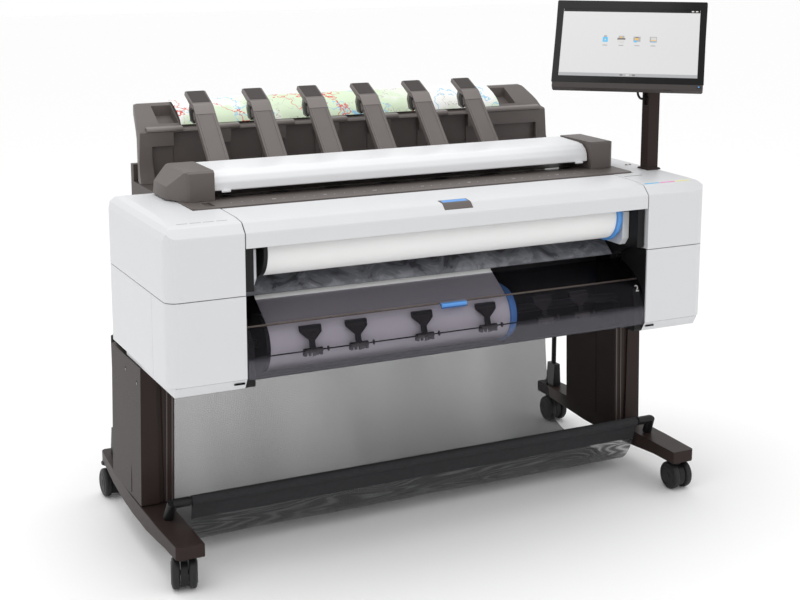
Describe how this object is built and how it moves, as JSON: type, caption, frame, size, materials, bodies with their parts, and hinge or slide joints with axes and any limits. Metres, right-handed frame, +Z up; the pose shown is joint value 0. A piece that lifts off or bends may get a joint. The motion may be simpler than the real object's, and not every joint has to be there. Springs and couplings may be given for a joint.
{
  "type": "large format plotter",
  "caption": "Wide inkjet plotter with two paper rolls, flat scanner on top, rear output stacker, touch monitor on a post, castored stand and cloth paper basket.",
  "frame": {"origin": "centre of the bounding box on the floor, with the monitor turned as stored", "axes": "+X to the right seen from the front, +Y to the rear, +Z up; the front faces -Y"},
  "size_m": [1.478, 0.7122, 1.2478],
  "materials": {
    "white_abs": "satin",
    "warm_grey_abs": "fine texture",
    "stand_steel": "satin powder coat",
    "frame_grey": "matte",
    "black_abs": "satin",
    "castor_rubber": "matte",
    "blue_abs": "satin",
    "paper": "matte",
    "smoked_plastic": "clear gloss",
    "bag_fabric": "fine mesh",
    "metal": "brushed",
    "screen": "gloss"
  },
  "bodies": {
    "machine": {"foot_beam_left": "stand_steel", "leg_left": "stand_steel", "foot_beam_right": "stand_steel", "leg_right": "stand_steel", "stand_crossbar": "stand_steel", "basket_front_bar": "black_abs", "basket_rear_frame": "black_abs", "basket_fabric": "bag_fabric", "chassis": "frame_grey", "upper_cover_left": "white_abs", "side_panel_left": "white_abs", "upper_cover_right": "white_abs", "side_panel_right": "white_abs", "lower_cover_right": "white_abs", "ink_cartridges": "black_abs", "platen": "metal", "media_guide": "black_abs", "roll_2_web": "paper", "spindle_rest_left": "white_abs", "spindle_rest_right": "white_abs", "scan_bed": "warm_grey_abs", "scanner_end_left": "warm_grey_abs", "scanner_end_right": "warm_grey_abs", "stacker_tray": "warm_grey_abs", "printed_sheet": "paper", "stacker_arm_1": "warm_grey_abs", "stacker_arm_2": "warm_grey_abs", "stacker_arm_3": "warm_grey_abs", "stacker_arm_4": "warm_grey_abs", "stacker_arm_5": "warm_grey_abs", "stacker_arm_6": "warm_grey_abs", "monitor_post": "stand_steel", "monitor_cable": "black_abs"},
    "castor_front_left": {"castor_fork_front_left": "black_abs"},
    "wheels_front_left": {"castor_wheels_front_left": "castor_rubber"},
    "castor_front_right": {"castor_fork_front_right": "black_abs"},
    "wheels_front_right": {"castor_wheels_front_right": "castor_rubber"},
    "castor_rear_left": {"castor_fork_rear_left": "black_abs"},
    "wheels_rear_left": {"castor_wheels_rear_left": "castor_rubber"},
    "castor_rear_right": {"castor_fork_rear_right": "black_abs"},
    "wheels_rear_right": {"castor_wheels_rear_right": "castor_rubber"},
    "ink_door": {"ink_door": "white_abs"},
    "carriage": {"printhead_carriage": "black_abs"},
    "feed_roller": {"feed_roller": "castor_rubber"},
    "hood": {"front_hood": "white_abs", "hood_handle": "blue_abs"},
    "lid": {"scanner_lid": "white_abs"},
    "roll_1": {"roll_1_paper": "paper", "roll_1_spindle": "black_abs", "roll_1_hub": "blue_abs"},
    "roll_2": {"roll_2_paper": "paper", "roll_2_spindle": "black_abs", "roll_2_hub": "blue_abs"},
    "lower_door": {"roll_2_door": "smoked_plastic"},
    "latch": {"door_latch": "blue_abs"},
    "presser": {"presser_bar": "black_abs"},
    "monitor_arm": {"monitor_arm": "black_abs"},
    "monitor": {"monitor_housing": "black_abs", "monitor_screen": "screen"},
    "power_button": {"power_button": "blue_abs"}
  },
  "joints": [
    {"name": "castor_swivel_front_left", "type": "hinge", "parent": "machine", "child": "castor_front_left", "pos_m": [-0.69785, -0.29586, 0.076], "axis": [0, 0, 1], "continuous": true},
    {"name": "wheel_spin_front_left", "type": "hinge", "parent": "castor_front_left", "child": "wheels_front_left", "pos_m": [-0.7037, -0.31499, 0.036], "axis": [0.9563, -0.2924, 0], "continuous": true},
    {"name": "castor_swivel_front_right", "type": "hinge", "parent": "machine", "child": "castor_front_right", "pos_m": [0.62415, -0.29586, 0.076], "axis": [0, 0, 1], "continuous": true},
    {"name": "wheel_spin_front_right", "type": "hinge", "parent": "castor_front_right", "child": "wheels_front_right", "pos_m": [0.62415, -0.31586, 0.036], "axis": [1, 0, 0], "continuous": true},
    {"name": "castor_swivel_rear_left", "type": "hinge", "parent": "machine", "child": "castor_rear_left", "pos_m": [-0.69785, 0.30614, 0.076], "axis": [0, 0, 1], "continuous": true},
    {"name": "wheel_spin_rear_left", "type": "hinge", "parent": "castor_rear_left", "child": "wheels_rear_left", "pos_m": [-0.69785, 0.28614, 0.036], "axis": [1, 0, 0], "continuous": true},
    {"name": "castor_swivel_rear_right", "type": "hinge", "parent": "machine", "child": "castor_rear_right", "pos_m": [0.62415, 0.30614, 0.076], "axis": [0, 0, 1], "continuous": true},
    {"name": "wheel_spin_rear_right", "type": "hinge", "parent": "castor_rear_right", "child": "wheels_rear_right", "pos_m": [0.62415, 0.28614, 0.036], "axis": [1, 0, 0], "continuous": true},
    {"name": "ink_door_hinge", "type": "hinge", "parent": "machine", "child": "ink_door", "pos_m": [-0.73385, -0.23986, 0.56], "axis": [0, 0, -1], "range_deg": [0, 90]},
    {"name": "carriage_slide", "type": "slide", "parent": "machine", "child": "carriage", "axis": [1, 0, 0], "range_m": [0, 0.89]},
    {"name": "feed_roller_spin", "type": "hinge", "parent": "machine", "child": "feed_roller", "pos_m": [-0.03685, -0.15686, 0.7], "axis": [1, 0, 0], "continuous": true},
    {"name": "hood_hinge", "type": "hinge", "parent": "machine", "child": "hood", "pos_m": [-0.03685, -0.19486, 0.816], "axis": [-1, 0, 0], "range_deg": [0, 60]},
    {"name": "scanner_lid_hinge", "type": "hinge", "parent": "machine", "child": "lid", "pos_m": [-0.03685, 0.03814, 0.887], "axis": [-1, 0, 0], "range_deg": [0, 50]},
    {"name": "roll_1_spin", "type": "hinge", "parent": "machine", "child": "roll_1", "pos_m": [-0.03685, -0.24886, 0.731], "axis": [1, 0, 0], "continuous": true},
    {"name": "roll_2_spin", "type": "hinge", "parent": "machine", "child": "roll_2", "pos_m": [-0.03685, -0.25386, 0.516], "axis": [1, 0, 0], "continuous": true},
    {"name": "lower_door_hinge", "type": "hinge", "parent": "machine", "child": "lower_door", "pos_m": [-0.03685, -0.34286, 0.465], "axis": [1, 0, 0], "range_deg": [0, 80]},
    {"name": "door_latch_hinge", "type": "hinge", "parent": "lower_door", "child": "latch", "pos_m": [-0.03685, -0.31336, 0.57], "axis": [-1, 0, 0], "range_deg": [0, 12], "stiffness_Nm_per_rad": 0.1, "springref_deg": -5.73},
    {"name": "presser_hinge", "type": "hinge", "parent": "machine", "child": "presser", "pos_m": [-0.03685, -0.33186, 0.507], "axis": [1, 0, 0], "range_deg": [0, 3], "stiffness_Nm_per_rad": 1, "springref_deg": -17.19},
    {"name": "monitor_swivel", "type": "hinge", "parent": "machine", "child": "monitor_arm", "pos_m": [0.62115, -0.15686, 1.05], "axis": [0, 0, 1], "range_deg": [-45, 45]},
    {"name": "monitor_tilt", "type": "hinge", "parent": "monitor_arm", "child": "monitor", "pos_m": [0.6072, -0.17135, 1.09988], "axis": [0.7826, -0.6225, 0], "range_deg": [-10, 20]},
    {"name": "power_button_press", "type": "slide", "parent": "monitor", "child": "power_button", "axis": [0.5161, 0.6488, -0.5592], "range_m": [0, 0.0013], "stiffness_N_per_m": 300}
  ]
}
